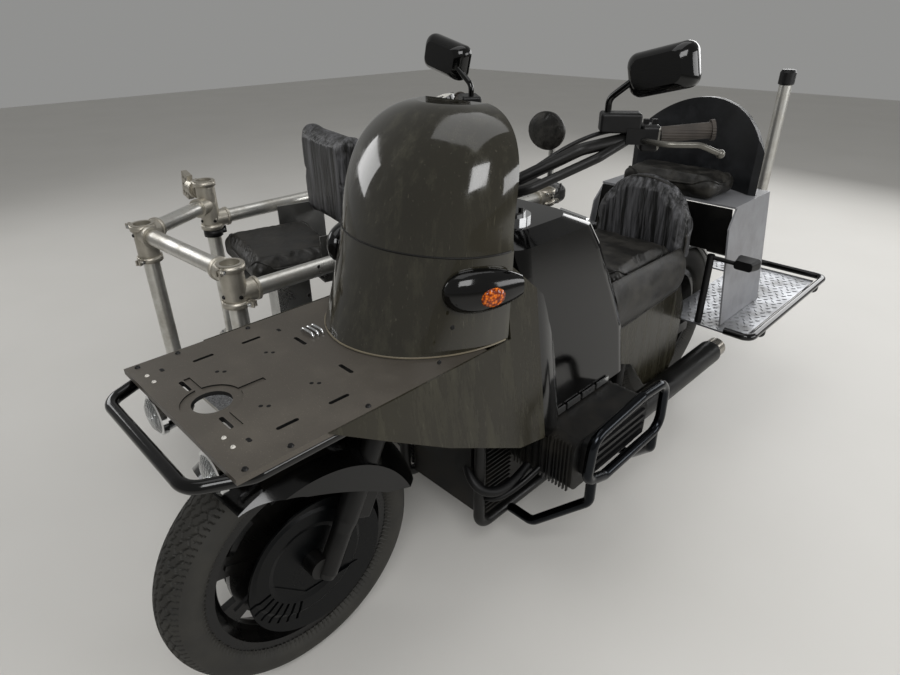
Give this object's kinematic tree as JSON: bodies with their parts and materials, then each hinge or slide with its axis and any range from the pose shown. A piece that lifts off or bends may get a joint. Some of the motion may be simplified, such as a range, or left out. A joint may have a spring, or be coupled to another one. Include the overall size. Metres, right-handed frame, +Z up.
{
  "type": "sidecar motorcycle",
  "caption": "Three-wheeled motorcycle with a flat sidecar platform, tube rails, seats and a slotted front plate that carries film equipment.",
  "frame": {"origin": "on the ground under the middle of the whole vehicle's box", "axes": "-Y to the front, +X to the rider's left, the sidecar at -X, +Z up"},
  "size_m": [1.8025, 2.5953, 1.3843],
  "materials": {
    "tyre": "satin",
    "cast_wheel": "satin",
    "black_paint": "gloss",
    "satin_black": "satin",
    "bronze_plate": "satin anodised",
    "smoked_shell": "gloss",
    "black_plastic": "satin",
    "lamp": "clear",
    "mirror": "polished",
    "rubber": "matte",
    "leather": "satin",
    "steel": "satin",
    "chrome": "polished",
    "aluminium": "satin",
    "cast_fitting": "cast",
    "engine": "rough",
    "carpet": "looped"
  },
  "bodies": {
    "chassis": {"front_plate": "bronze_plate", "front_bumper": "black_paint", "driving_lamps": "lamp", "cowl_lower": "smoked_shell", "cowl_upper": "smoked_shell", "leg_shields": "smoked_shell", "signal_pods": "black_paint", "tank_shelter": "black_paint", "rider_seat": "leather", "rider_backrest": "leather", "operator_seat": "leather", "operator_backrest": "satin_black", "side_covers": "black_paint", "equipment_box": "aluminium", "rear_deck": "aluminium", "deck_rail": "black_paint", "rear_signals": "black_plastic", "capped_post": "aluminium", "engine": "engine", "radiators": "engine", "crash_bar": "chrome", "crash_bar_cover": "black_plastic", "main_frame": "satin_black", "plate_bearers": "satin_black", "rear_frame": "satin_black", "swingarm": "satin_black", "exhaust": "steel", "rear_mudguard": "black_paint", "sidecar_frame": "satin_black", "sidecar_deck": "carpet", "sidecar_posts": "aluminium", "rail_fittings": "cast_fitting", "sidecar_rails": "aluminium", "camera_head": "cast_fitting", "sidecar_seat": "leather", "sidecar_seat_back": "leather", "seat_pedestal": "steel", "rear_seat": "leather", "rear_seat_pad": "leather", "rear_pedestal": "steel", "sidecar_mudguard": "black_paint"},
    "steering": {"fork": "satin_black", "front_mudguard": "black_paint", "disc_covers": "black_plastic", "handlebar": "satin_black", "grips": "rubber", "levers": "black_plastic", "mirrors": "mirror", "gauge": "black_plastic"},
    "front_wheel_set": {"front_tyre": "tyre", "front_wheel": "cast_wheel"},
    "rear_wheel_set": {"rear_tyre": "tyre", "rear_wheel": "cast_wheel"},
    "sidecar_wheel_set": {"sidecar_tyre": "tyre", "sidecar_wheel": "cast_wheel"}
  },
  "joints": [
    {"name": "steer", "type": "hinge", "parent": "chassis", "child": "steering", "pos_m": [0.4488, -0.54071, 0.985], "axis": [0, 0.4787, 0.878], "range_deg": [-30, 30]},
    {"name": "front_wheel_spin", "type": "hinge", "parent": "steering", "child": "front_wheel_set", "pos_m": [0.4488, -0.97775, 0.32], "axis": [1, 0, 0], "continuous": true},
    {"name": "rear_wheel_spin", "type": "hinge", "parent": "chassis", "child": "rear_wheel_set", "pos_m": [0.4488, 0.71225, 0.331], "axis": [1, 0, 0], "continuous": true},
    {"name": "sidecar_wheel_spin", "type": "hinge", "parent": "chassis", "child": "sidecar_wheel_set", "pos_m": [-0.8212, 0.46225, 0.3], "axis": [1, 0, 0], "continuous": true}
  ]
}
